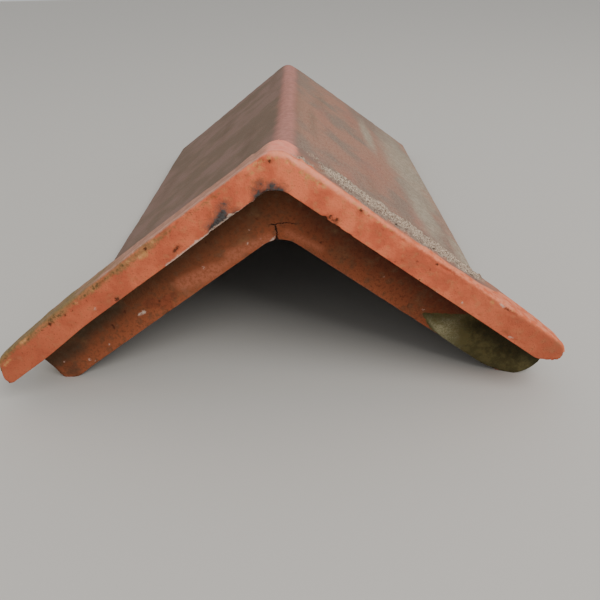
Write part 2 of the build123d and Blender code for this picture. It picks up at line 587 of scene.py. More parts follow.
    def end_patch(self, ring: Outline, border: Array, first: int) -> tuple[Array, Fields]:
        """The flat end of one wing, as rows from the outline's upper half to its lower half.

        The first row is the cap's front edge and the last one the plain end's. The rows between
        run straight from an upper point to the lower one that is as many steps from the front.

        Args:
            ring: The outline.
            border: The vertex numbers of the outline on this wing's end.
            first: The first free vertex number.

        Returns:
            The rows' vertex numbers, and the fields of the new vertices.
        """
        reach = self.front_row // 2
        top = np.arange(reach, ring.half - reach + 1)
        low = len(border) - top
        across = np.linspace(0, 1, self.front_row + 1)[1:-1]
        patch = np.empty((len(top), self.front_row + 1), int)
        patch[:, 0], patch[:, -1] = border[top], border[low]
        patch[0] = border[np.arange(reach, -reach - 1, -1)]
        patch[-1] = border[np.arange(ring.half - reach, ring.half + reach + 1)]
        inner = np.arange(first, first + (len(top) - 2) * len(across))
        patch[1:-1, 1:-1] = inner.reshape(len(top) - 2, -1)
        both = np.stack([ring.distance, ring.level])
        upper, lower = both[:, top[1:-1], None], both[:, low[1:-1], None]
        y, n = (upper * (1 - across) + lower * across).reshape(2, -1)
        none = np.zeros(len(inner))
        return patch, {"y": y, "n": n, "ny": none, "nn": none, "end": none + 1}

    def drawn_in(self, y: Array, level: Array) -> Array:
        """How far the section draws in near the cap's front, the cap's back and the plain end.

        At a distance d < R from an end with the rounding R it draws in by R - sqrt(R^2 - (R - d)^2).

        Args:
            y: Each vertex's distance behind the cap's front.
            level: Its level.

        Returns:
            One length per vertex.
        """
        s = self.size
        behind = np.where((level > s.body_level + 0.1) & (y > s.socket_depth), s.cap_length - y, np.inf)
        total = np.zeros(len(y))
        for distance, radius in ((y, s.front_radius), (behind, s.back_radius), (s.length - y, s.end_radius)):
            lack = np.clip(radius - distance, 0, radius)
            total += radius - np.sqrt(radius ** 2 - lack ** 2)
        return total

    def cap_share(self, x: Array, y: Array) -> Array:
        """How thick the cap's wall is, as a share of the even one.

        It is less at the tips, and behind the crest it falls by a steady share of each millimetre.

        Args:
            x: Where each vertex is across the tile.
            y: Its distance behind the cap's front.

        Returns:
            One share per vertex.
        """
        s = self.size
        crest, wall = np.interp(x, *zip(*self.crest)), np.interp(x, *zip(*self.wall))
        return wall * (1 - self.fall * soft_floor(y - crest, 1.5) / (s.cap_back_level - s.socket_level))

    def thinned(self, level: Array, share: Array) -> Array:
        """A level in the cap's wall, brought down to the wall's share above the socket's level."""
        base = self.size.socket_level
        return np.where(level > base, base + (level - base) * share, level)

    def in_lip(self, fields: Fields) -> Array:
        """Which vertices are on the lips: in the cap's wall and in front of the shoulder."""
        return (fields["n"] > self.size.socket_level - 0.01) & (fields["y"] < self.size.socket_depth)

    def place(self, fields: Fields) -> Array:
        """The points of the unworn tile, with its uneven lips and its slightly bent ridge.

        Args:
            fields: The vertices' fields from the grid.

        Returns:
            One row of X, Y and Z per vertex.
        """
        s, y, t = self.size, fields["y"], fields["t"]
        pitch = math.radians(s.pitch)
        sin, cos, tan = math.sin(pitch), math.cos(pitch), math.tan(pitch)
        bed_outer, sunk = s.inner_half + s.bed_width, s.bed_width * sin
        end_x = bed_outer + (fields["n"] - sunk) * sin
        depth = (1 - np.abs(t)) * end_x / cos
        share = self.cap_share(t * end_x, y)
        cap_top = np.interp(y, [0, s.cap_length], [s.cap_front_level, s.cap_back_level])
        top = np.where(y < s.cap_length + 0.1, self.thinned(cap_top, share), s.body_level)
        depth, n = self.rounded_ends(fields, depth, self.thinned(fields["n"], share), top)
        depth, n = self.with_lips(fields, depth, n)

        # down the slope from the ridge's arc
        x = bed_outer + (n - sunk) * sin - depth * cos
        radius = self.ridge_radius(fields)
        flat = radius * sin
        arc = radius - np.sqrt(np.maximum(radius ** 2 - np.minimum(x, flat) ** 2, 0))
        fall = np.where(x < flat, arc + radius * (1 / cos - 1), x * tan)
        z = s.inner_half * tan + n / cos - fall
        points = np.stack([np.where(t > 0, x, -x), y - s.length / 2, z], axis=1)
        points[t == 0, 0] = 0
        return self.trimmed(points, fields)

    def rounded_ends(self, fields: Fields, depth: Array, n: Array, top: Array) -> tuple[Array, Array]:
        """Rounds the wing ends' corners, in a section that draws in at the tile's ends.

        Args:
            fields: The vertices' fields from the grid.
            depth: How far each vertex is from its wing's end, along the slope.
            n: Its level in the thinned wall.
            top: The outside's level there.

        Returns:
            The new depths and levels.
        """
        s, y, right, in_lip = self.size, fields["y"], fields["t"] > 0, self.in_lip(fields)
        inset = self.drawn_in(y, fields["n"])
        depth = depth + inset * (1 - smoothstep(0, 30, depth))
        lip_radius = np.where(right, self.lip_radius[1], self.lip_radius[0])
        radius = np.where(y < s.cap_length + 0.1, lip_radius, self.wing_radius)
        radius = np.minimum(radius, np.maximum((top - s.socket_level) * 0.85, self.wing_radius))
        rounded, below = rounded_square_corner(depth - inset, top - inset - n, np.maximum(radius - inset, 0.5))
        n, depth = np.minimum(top - inset - below, n), rounded + inset
        near_front = 1 - smoothstep(17, 24, y)  # the lower rounding ends just before the shoulder
        under = np.where(right, self.lip_under[1], self.lip_under[0]) * near_front + 1e-3
        rounded, above = rounded_square_corner(depth - inset, n - s.socket_level, under)
        return np.where(in_lip, rounded + inset, depth), np.where(in_lip, s.socket_level + above, n)

    def with_lips(self, fields: Fields, depth: Array, n: Array) -> tuple[Array, Array]:
        """Gives each lip its own length past the square cut, and lets the left one's underside hang.

        Args:
            fields: The vertices' fields from the grid.
            depth: How far each vertex is from its wing's square end, along the slope.
            n: Its level.

        Returns:
            The new depths and levels.
        """
        s, y, right = self.size, fields["y"], fields["t"] > 0
        # the wall's upper part keeps its extra length to behind the cap, its lower part to the shoulder
        high = smoothstep(s.socket_level, s.socket_level + 7, fields["n"])
        low = (1 - high) * self.in_lip(fields)
        lip = high * (1 - smoothstep(34, 60, y)) + low * (1 - smoothstep(17, 24.5, y))
        extra = np.where(right, self.lip_extra[1], self.lip_extra[0]) * lip
        sag = np.where(right, 0, self.left_sag) * (1 - high) * lip * (1 - smoothstep(20, 55, depth))
        return depth - extra * (1 - smoothstep(0, 45, depth)), n - sag

    def ridge_radius(self, fields: Fields) -> Array:
        """The ridge's rounding at each vertex: wider outside the cap, tighter in the socket.

        Args:
            fields: The vertices' fields from the grid.

        Returns:
            One radius per vertex.
        """
        s = self.size
        levels = [0, s.body_level, s.socket_level, s.cap_front_level]
        outer = np.interp(fields["n"], levels, [14, 12, 11.5, 11.2])
        inner = np.interp(fields["n"], levels, [14, 12, 10, 10])
        return np.where((fields["y"] < s.socket_depth + 0.1) & (fields["n"] < s.cap_back_level), inner, outer)

    def trimmed(self, points: Array, fields: Fields) -> Array:
        """The right lip's flat underside, the left lip's reach, the flat beds, and the ridge's bend.

        Past its start the left lip's way s becomes r tanh(s / r), which never goes beyond r. The
        bend grows with the square of the height, from nothing on the bed to all of it at 110 mm.

        Args:
            points: The points on the slopes.
            fields: The vertices' fields from the grid.

        Returns:
            The trimmed points.
        """
        y, x, z = fields["y"], points[:, 0], points[:, 2]
        lip = (self.in_lip(fields) | (y < 0.1)) * (1 - smoothstep(18, 24.5, y)) * (x > 0)
        z = z + lip * (soft_floor(z - self.right_lip_floor, 1.6) + self.right_lip_floor - z)
        z = soft_floor(z, 1.2)  # the flat beds, with soft edges
        room = 3  # the last millimetres of the left lip's reach, in which it is slowed down
        start = self.left_reach - room
        x = np.where(x < -start, -start - room * np.tanh((-x - start) / room), x)
        bend = np.interp(y, *zip(*self.bend))
        return np.stack([x + bend * (z / 110) ** 2, points[:, 1], z], axis=1)


def strongest(marks: tuple[Mark | Patch, ...], points: Array, length: float) -> Array:
    """How far each point is inside the nearest of several marks."""
    return np.max([m.inside(points, length) for m in marks], axis=0)


@dataclass
class WornTile:
    """The tile's mesh: the unworn shape, then its relief, chips, crust and masks.

    Attributes:
        tile: The unworn tile.
        lift: How much the outside is raised before its waves and grains wear it back.
        chip_depth: How deep the small chips along the upper arris are.
        crumb_height: How high the lichen's crumbs stand.
        crust_height: How thick the mortar is on the shoulder's right foot.
        crust_rim: How far inside its edge it has its full thickness.
        crust_spill: How far it spills past the foot's outer side.
        crust_end: How far behind the cap's front it ends.
    """

    tile: RidgeTile
    lift: float = 0.85
    chip_depth: float = 0.9
    crumb_height: float = 1.3
    crust_height: float = 3.4
    crust_rim: float = 11
    crust_spill: float = 9.4
    crust_end: float = 44

    def __post_init__(self) -> None:
        """Works out what the relief and the masks share."""
        self.fields, self.faces = self.tile.grid()
        self.unworn = self.tile.place(self.fields)
        self.zones = self.faced()
        self.rim = self.over_arris()
        self.crust = self.crusted()
        self.lichen = self.lichened()

    def build(self, box: tuple[Vector, Vector]) -> bpy.types.Object:
        """Moves each vertex against its normal by the wear there, and adds the crust and the masks.

        Args:
            box: The CAD part's lowest and highest corners, in metres, which it stays inside.

        Returns:
            The finished mesh object.
        """
        mesh = bpy.data.meshes.new("weathered_ridge_tile")
        mesh.from_pydata((self.unworn * MM).tolist(), [], self.faces)
        normals = np.empty(len(self.unworn) * 3, np.float32)
        mesh.vertex_normals.foreach_get("vector", normals)
        worn = self.with_crust(self.unworn - self.wear()[:, None] * normals.reshape(-1, 3))
        worn = np.clip(worn, np.array(box[0]) / MM, np.array(box[1]) / MM)
        mesh.vertices.foreach_set("co", (worn * MM).astype(np.float32).ravel())
        for name, values in self.masks().items():
            mesh.attributes.new(name, "FLOAT", "POINT").data.foreach_set("value", values.astype(np.float32))
        mesh.shade_smooth()
        mesh.update()
        tile = bpy.data.objects.new("weathered_ridge_tile", mesh)
        bpy.context.scene.collection.objects.link(tile)
        return tile

    def faced(self) -> Fields:
        """How much each vertex belongs to the cap's face, the shoulder and the outside.

        Returns:
            One value from 0 to 1 per vertex for each of the three.
        """
        s, f = self.tile.size, self.fields
        facing = np.clip(-f["ny"], 0, 1)
        outside = np.clip(np.maximum(f["nn"], f["ny"]), 0, 1) * (f["y"] > 0.3)
        return {
            "face": facing * (f["y"] < 4),
            "shoulder": facing * (np.abs(f["y"] - s.socket_depth) < 6),
            "outside": np.maximum(outside, f["end"] * 0.8),
        }

    def over_arris(self) -> Array:
        """The way over the clay from the face's upper arris, along its rounding's arc.

        Returns:
            One length per vertex: more than 0 down the face, less than 0 back over the cap.
        """
        s, y, n = self.tile.size, self.fields["y"], self.fields["n"]
        start = s.cap_front_level - s.front_radius
        turn = s.front_radius * np.arcsin(np.clip((n - start) / s.front_radius, 0, 1))
        front = np.where(n < start, start - n, -turn)
        return np.where(y < s.front_radius - 0.01, front, -s.front_radius * (math.pi / 2 - 1) - y)

    def crusted(self) -> Array:
        """How far each vertex is inside the hard mortar on the shoulder's right foot.

        It ends on a broken line up the shoulder, on another one above it, and at its own distance
        behind the cap's front on the wing's end.

        Returns:
            One value per vertex, in millimetres and less than 0 outside.
        """
        f, (x, _, z) = self.fields, self.unworn.T
        edge_z, edge_x = [0, 4, 8, 14, 21, 28, 33, 38, 45], [119, 110, 103.5, 95, 87, 80, 77, 74.3, 76]
        low = 0.75 * (x - np.interp(z, edge_z, edge_x))
        top = np.interp(x, [70, 76, 90, 100, 140], [38.6, 38.6, 37.5, 37, 36]) - z
        on_end = (f["end"] > 0) & (f["n"] < self.tile.size.socket_level)
        near = np.where(on_end, self.crust_end - f["y"], 20 * (self.zones["shoulder"] - 0.4))
        return clipped(np.min([low, top, near], axis=0), 15)

    def lichened(self) -> Array:
        """How far each vertex is inside the grey lichen on the right of the cap.

        Returns:
            One value per vertex, in millimetres and less than 0 outside.
        """
        x = self.unworn[:, 0]
        start = np.interp(x, [8, 25, 40, 60, 80, 100], [8, 4.6, 3, 3, 6, 12])
        ends = np.minimum((x - 10) * 0.14, (104 - x) * 0.25)
        on_cap = 30 * (self.zones["outside"] - 0.5) * (self.fields["y"] < 39)
        ragged = 4 * (lattice_noise(self.unworn, 13, 12) - 0.5)
        return clipped(np.minimum(np.minimum(-self.rim - start, ends) + ragged, on_cap), 8)

    def wear(self) -> Array:
        """How deep the clay is worn: broad waves, grain, the marks, chips along the arris and crumbs.

        Returns:
            One depth per vertex in millimetres, less than 0 where crumbs lie on the clay.
        """
        p, zones, length = self.unworn, self.zones, self.tile.size.length
        broad = lattice_noise(p, 55, 1) * 0.7 + lattice_noise(p, 17, 2) * 0.35
        grain = lattice_noise(p, 4.2, 3) * 0.22 + lattice_noise(p, 1.9, 4) * 0.16
        on_crown = (np.abs(p[:, 0]) < 11) * (self.fields["y"] < 40) * zones["outside"]
        calm = 1 - 0.75 * on_crown  # the cap's crown is smoother
        depth = 0.15 - self.lift * zones["outside"] * calm + broad * (0.3 + 0.7 * zones["outside"])
        depth += grain * (0.35 + 0.9 * zones["outside"] * calm + 0.3 * zones["shoulder"])
        ragged = 0.7 + 0.6 * lattice_noise(p, 1.7, 5)
        for mark in (mark for group in (*MARKS.values(), NICKS) for mark in group if mark.depth):
            depth += mark.depth * smoothstep(-0.2, 0.8, mark.inside(p, length)) * ragged
        chips = smoothstep(0.62, 0.8, lattice_noise(p, 2.7, 6)) * (1 - smoothstep(0.4, 2, np.abs(self.rim)))
        crumbs = smoothstep(0.4, 0.85, lattice_noise(p, 2.3, 11)) * smoothstep(0, 1.5, self.lichen)
        depth = depth + self.chip_depth * chips - self.crumb_height * crumbs
        return depth * smoothstep(2, 6, p[:, 2])

    def with_crust(self, points: Array) -> Array:
        """Adds the mortar: a lens on the shoulder's right foot that spills past the wing's end.

        Where a vertex is inside its edge by the share d of its rim, the lens has 1 - (1 - d)^2 of its
        thickness, and a coarse noise makes that uneven.

        Args:
            points: The worn points.

        Returns:
            The points with the mortar on them.
        """
        f, s, z = self.fields, self.tile.size, points[:, 2]
        lens = 1 - (1 - np.clip(self.crust / self.crust_rim, 0, 1)) ** 2
        lens = lens * (f["end"] == 0) * (self.crust_height + 1.2 * (lattice_noise(points, 6, 9) - 0.5))
        spill = self.crust_spill * smoothstep(-4, 6, z) * (1 - smoothstep(7, 24, z))
        wing_run = 150  # about what a wing measures along its slope
        from_end = (1 - f["t"]) * wing_run
        spill = spill * (1 - smoothstep(0, 16, from_end)) * (1 - smoothstep(32, 47, f["y"]))
        spill = spill * (f["t"] > 0) * (f["n"] < s.socket_level) * (f["y"] > s.socket_depth - 3)
        return points + np.stack([spill, -lens, np.zeros(len(points))], axis=1)

    def masks(self) -> Fields:
        """What the clay's colours read: zones and patches up to 1, marks in millimetres inside their edge.

        Returns:
            One value per vertex under each mask's name.
        """
        p, s, y = self.unworn, self.tile.size, self.fields["y"]
        on_cap = (self.zones["outside"] > 0.4) & (y < s.cap_length)
        on_body = (self.zones["outside"] > 0.4) & (y > s.cap_length - 1)
        masks = self.zones | {name: clipped(strongest(group, p, s.length)) for name, group in MARKS.items()}
        for where, patches in ((on_body, BODY_PATCHES), (on_cap, CAP_PATCHES)):
            for name, group in patches.items():
                masks[name] = np.where(where, strongest(group, p, s.length), -1)
        masks |= self.right_arris() | self.left_arris(on_cap) | self.shades(on_cap, on_body)
        return masks | self.crust_and_crack()

    def right_arris(self) -> Fields:
        """The worn band along the right arris, the painted highlight along the arris and the foot of the lichen
        above it.

        Returns:
            One value per vertex under each mask's name, in millimetres inside its edge.
        """
        x, rim, at_end = self.unworn[:, 0], self.rim, self.fields["end"] > 0
        start = np.interp(x, [-20, 0, 60, 90, 120], [-1.3, 0.2, -0.2, -1, -1.2])
        width = np.interp(x, [-10, 2, 12, 25, 60, 80, 94, 122, 142], [3, 5, 7, 4, 2.6, 5, 8, 24, 26])
        width = width * (0.65 + 0.7 * lattice_noise(self.unworn, 12, 13))
        band = np.where(at_end, -FAR, np.minimum(start - rim, rim + width))
        # painted highlight along the worn arris, widest near the crown
        light_start = np.interp(x, [0, 40, 85], [0.4, -0.1, -0.7])
        light_width = np.interp(x, [0, 10, 30, 60], [3.6, 6.4, 2.8, 2])
        light = np.min([light_start - rim, rim + light_width, x * 0.3 + 1, (114 - x) * 0.15], axis=0)
        return {
            "right_arris": clipped(np.minimum(band, x * 0.4 + 1)),
            "right_highlight": np.where(at_end, -FAR, clipped(light)),
            "lichen_foot": np.minimum(np.interp(x, [15, 30, 60, 90], [6, 15, 13, 5]) + rim, self.lichen),
        }

    def left_arris(self, on_cap: Array) -> Fields:
        """The worn band behind the left arris, the painted highlight along the arris and the dirty fringe on it.

        Args:
            on_cap: Which vertices are on the cap's outside.

        Returns:
            One value per vertex under each mask's name, in millimetres inside its edge.
        """
        x, rim = self.unworn[:, 0], self.rim
        band = np.where(on_cap, np.minimum(-2 - rim, (-x - 3) * 0.4), -FAR)
        # painted highlight along the worn arris
        light = np.min([band + 0.5, 5 + rim, (x + 92) * 0.15], axis=0)
        fringe = np.min([rim + 2.4, 2 - rim, -x * 0.1 - 1.2], axis=0)
        fringe = clipped(fringe + 3 * lattice_noise(self.unworn, 9, 21) - 1.5)
        fringe = np.where(self.fields["y"] < 6, fringe - 1.3 * smoothstep(-66, -40, x), -FAR)
        return {
            "left_band": clipped(band), "left_highlight": clipped(light),
            "fringe": fringe, "fringe_dark": fringe - 1.5 * smoothstep(-85, -60, x),
        }

    def shades(self, on_cap: Array, on_body: Array) -> Fields:
        """Broad shades of colour that grow across or down the tile. Some are painted light: a painted highlight on
        the crown, and painted shade on the shoulder near the cap and on its right.

        Args:
            on_cap: Which vertices are on the cap's outside.
            on_body: Which vertices are on the body's outside.

        Returns:
            One value from 0 to about 1 per vertex under each mask's name.
        """
        x, z, rim = self.unworn[:, 0], self.unworn[:, 2], self.rim
        # painted shade on the shoulder's right side, fainter high up near the middle
        far_right_shade = smoothstep(40, 105, x) * smoothstep(8, 32, z)
        near_right_shade = smoothstep(3, 20, x) * smoothstep(50, 74, z) * 0.4
        return {
            "olive": np.where(on_cap & (x < 0), smoothstep(58, 112, -x), 0) * smoothstep(0, 1.6, -rim),
            # painted highlight: the crown's pink clay is brightened where the cap's top faces the sky
            "crown": (1 - smoothstep(5, 12, np.abs(x - 1))) * on_cap * smoothstep(0.5, 3, -rim),
            "veil": smoothstep(4, 14, x) * on_body,
            "ridge": (1 - smoothstep(1, 12, np.abs(x))) * on_body,
            "dim": smoothstep(40, 150, x) * 0.9 + np.interp(-x, [10, 50, 100, 150], [0, 0.38, 0.6, 1]),
            "right_shade": np.maximum(far_right_shade, near_right_shade),
            # the height down the shoulder, which its painted shade under the cap follows
            "low": 1 - self.fields["n"] / self.tile.size.socket_level,
        }

    def crust_and_crack(self) -> Fields:
        """The lichen, the mortar's crust with its pale part and its painted shade, and the shoulder's crack.

        Returns:
            One value per vertex under each mask's name: millimetres inside the edge of each
            crust, and how far each vertex is to the side of the crack's two runs.
        """
        x, z = self.unworn[:, 0], self.unworn[:, 2]
        pale = np.min([self.crust * 3, (101 - x) * 0.35, (33 - z) * 0.6 + 4], axis=0)
        # painted shade: the crust darkens towards its right and its top
        dark = np.minimum(self.crust, (x + 1.2 * z - 128) * 0.3)
        return {
            "lichen": self.lichen, "crust": self.crust,
            "crust_pale": clipped(pale, 8), "crust_shade": clipped(dark, 8),
            "crack_up": x - np.interp(z, [82, 84, 86.6, 89.6, 90.6], [-1.2, -1.9, -1.4, -2, -2.4]),
            "crack_across": z - np.interp(x, [-3.2, 0.3, 5.1, 7.8, 11.9], [90.3, 91, 91.1, 90.5, 90.6]),
        }


# Finishes

def linear(code: str) -> tuple[float, float, float, float]:
    """An sRGB hex colour as the linear RGBA that Blender's sockets take."""
    channels = [int(code[i:i + 2], 16) / 255 for i in (1, 3, 5)]
    return (*(c / 12.92 if c <= 0.04045 else ((c + 0.055) / 1.055) ** 2.4 for c in channels), 1)


class Kind(Enum):
    """The shader nodes in use: their type, fixed settings, inputs in order and output."""

    PLACE = ("ShaderNodeTexCoord", {}, (), "Object")
    MASK = ("ShaderNodeAttribute", {}, (), "Fac")
    ACROSS = ("ShaderNodeSeparateXYZ", {}, ("Vector",), "X")
    HEIGHT = ("ShaderNodeSeparateXYZ", {}, ("Vector",), "Z")
    NOISE = ("ShaderNodeTexNoise", {}, ("Vector", "Scale", "Detail", "Roughness"), "Fac")
    STEP = (
        "ShaderNodeMapRange", {"interpolation_type": "SMOOTHSTEP"},
        ("Value", "From Min", "From Max", "To Min", "To Max"), "Result",
    )
    TIMES = ("ShaderNodeMath", {"operation": "MULTIPLY"}, (0, 1), 0)
    TIMES_PLUS = ("ShaderNodeMath", {"operation": "MULTIPLY_ADD"}, (0, 1, 2), 0)
    SIZE = ("ShaderNodeMath", {"operation": "ABSOLUTE"}, (0,), 0)
    BLEND = ("ShaderNodeMix", {"data_type": "RGBA"}, (0, 6, 7), 2)  # a share and two colours
    BUMP = ("ShaderNodeBump", {}, ("Height", "Strength", "Distance"), "Normal")
    SURFACE = (
        "ShaderNodeBsdfPrincipled", {}, ("Base Color", "Roughness", "Specular IOR Level", "Normal"), "BSDF",
    )
    OUTPUT = ("ShaderNodeOutputMaterial", {}, ("Surface",), None)


class Shader:
    """A material whose node tree is filled node by node."""

    def __init__(self, name: str) -> None:
        """Makes the material, with no node in it yet.

        Args:
            name: The real material and how its surface was made.
        """
        self.material = bpy.data.materials.new(name)
        self.material.use_nodes = True
        self.tree = self.material.node_tree
        self.tree.nodes.clear()

    def add(self, kind: Kind, *values: Socket | float | tuple[float, ...], **settings: str) -> Socket | None:
        """Adds a node, with its settings and its links.

        Args:
            kind: Which node.
            values: Its inputs in order: numbers, colours or the outputs of other nodes.
            settings: What is set on this node alone.

        Returns:
            Its output, or nothing for the material's output node.
        """
        name, fixed, inputs, output = kind.value
        node = self.tree.nodes.new(name)
        for key, value in {**fixed, **settings}.items():
            setattr(node, key, value)
        for key, value in zip(inputs, values):
            if isinstance(value, bpy.types.NodeSocket):
                self.tree.links.new(value, node.inputs[key])
            else:
                node.inputs[key].default_value = value
        return None if output is None else node.outputs[output]


class ClayShader(Shader):
    """A material with what all of the clay's colours read: its places, its patterns and a zone."""

    def __init__(self, name: str) -> None:
        """Makes the material with those nodes in it.

        Args:
            name: The real material and how its surface was made.
        """
        super().__init__(name)
        place = self.add(Kind.PLACE)
        self.across, self.height = self.add(Kind.ACROSS, place), self.add(Kind.HEIGHT, place)
        self.right = self.add(Kind.STEP, self.across, -0.004, 0.02, 0, 1)
        self.noise = {size: self.add(Kind.NOISE, place, 1 / (size * MM), 3, 0.6) for size in NOISE_SIZES}
        self.on_shoulder = self.add(Kind.STEP, self.add(Kind.MASK, attribute_name="shoulder"), 0.2, 0.6, 0, 1)


@dataclass(frozen=True)
class Coat:
    """One thin coat of dirt, growth or bare clay over what lies under it.

    Attributes:
        mask: The mesh's mask that says where it lies.
        colours: Its two colours.
        edge: The mask's values where it begins and where it is full.
        fray: How much the mask wanders, in its own unit.
        grain: The size of that wandering, in millimetres.
        mottle: The size of the pattern that blends the two colours, in millimetres.
        cover: How much it hides where it is full.
    """

    mask: str
    colours: tuple[str, str]
    edge: tuple[float, float]
    fray: float
    grain: float
    mottle: float
    cover: float = 1

    def over(self, m: ClayShader, under: Socket) -> Socket:
        """Lays the coat over a colour.

        Args:
            m: The material.
            under: The colour that it hides.

        Returns:
            The colour with the coat on it.
        """
        wander = m.add(Kind.TIMES_PLUS, m.noise[self.grain], self.fray, -self.fray / 2)
        wander = m.add(Kind.TIMES_PLUS, m.add(Kind.MASK, attribute_name=self.mask), 1.0, wander)
        share = m.add(Kind.STEP, wander, *self.edge, 0, self.cover)
        pattern = m.add(Kind.STEP, m.noise[self.mottle], 0.38, 0.62, 0, 1)
        tint = m.add(Kind.BLEND, pattern, *(linear(code) for code in self.colours))
        return m.add(Kind.BLEND, share, under, tint)


# From the clay outwards. The grain and the mottle are two of the noise sizes. Soot has two coats: its
# brown rim, and the black itself.
COATS = (
    Coat("dark", ("#64513F", "#755F4E"), (-0.1, 1.1), 0.9, 14, 4, 0.5),
    Coat("red", ("#B7705A", "#A5685A"), (-0.1, 1), 1.0, 14, 4, 0.7),
    Coat("grey", ("#BCAF98", "#A29581"), (-0.1, 0.8), 0.9, 14, 4, 0.85),
    Coat("ridge", ("#D08E80", "#BE7F72"), (0, 1), 0.7, 14, 4, 0.75),
    # painted highlight on the crown, over its worn pink clay
    Coat("crown", ("#FFA288", "#FA9279"), (0.05, 0.9), 0.7, 4, 4, 0.97),
    Coat("left_band", ("#C8917A", "#B4816A"), (-0.4, 1.2), 1.6, 1.6, 4, 0.92),
    # painted highlight along the left arris
    Coat("left_highlight", ("#F2BCA6", "#DBA28D"), (0, 2.4), 2.5, 4, 1.6, 0.8),
    Coat("olive", ("#947A4C", "#736742"), (0.1, 1.1), 1.8, 14, 1.6, 0.88),
    Coat("veil", ("#B8A792", "#887765"), (0, 1), 0.8, 4, 1.6, 0.3),
    Coat("lichen", ("#D8C1A8", "#766252"), (0.2, 2.2), 4, 1.6, 0.8, 0.92),
    Coat("lichen_foot", ("#8C7262", "#6C5850"), (0, 2.5), 5, 1.6, 0.8, 0.6),
    Coat("right_arris", ("#F4926C", "#E2714A"), (-0.8, 1.4), 1.8, 1.6, 4, 0.95),
    # painted highlight along the right arris, over its worn clay
    Coat("right_highlight", ("#FFA686", "#FF9872"), (-0.4, 1.6), 2.8, 1.6, 1.6, 0.85),
    Coat("fringe", ("#A4784C", "#886A42"), (-0.4, 1.8), 4, 1.6, 1.6, 0.8),
    Coat("fringe_dark", ("#4C4428", "#665030"), (1.5, 2.7), 7, 1.6, 0.8, 0.8),
    Coat("brown", ("#7E4429", "#9A5638"), (-1.2, 1.8), 4, 1.6, 0.8, 0.6),
    Coat("buff", ("#DFA26A", "#CB8E54"), (-0.8, 0.6), 4, 0.8, 1.6, 0.8),
    Coat("raw", ("#C27456", "#A86043"), (-1.5, 2.4), 6, 1.6, 1.6, 0.75),
    Coat("flake", ("#8E4630", "#7A3A26"), (-0.8, 1.2), 2.4, 1.6, 4, 0.45),
    Coat("damp", ("#3A3526", "#453F30"), (-2.5, 4.5), 3, 4, 4, 0.6),
    Coat("soot", ("#6E4838", "#8C5C48"), (-2.6, 0), 5, 1.6, 1.6, 0.6),
    Coat("soot", ("#222A2B", "#424A4A"), (-0.5, 1.4), 4, 1.6, 1.6, 0.93),
    Coat("pit", ("#3E2014", "#5E3220"), (-0.3, 0.5), 2.2, 0.8, 0.8, 0.9),
    Coat("hole", ("#54412F", "#3E2F24"), (0, 0.5), 2.4, 1.6, 0.8, 0.85),
    Coat("lime", ("#E9DCC9", "#C7A08C"), (-0.3, 0.5), 2.6, 0.8, 0.8, 0.85),
    Coat("crust", ("#5E5634", "#4D4629"), (-0.3, 0.3), 2, 1.6, 4),
    # painted shade on the crust's right and top
    Coat("crust_shade", ("#2E2A14", "#242110"), (0, 5), 3, 4, 1.6, 0.9),
    Coat("crust_pale", ("#B6AE8C", "#8C855F"), (0.5, 8), 6, 4, 0.8, 0.9),
)


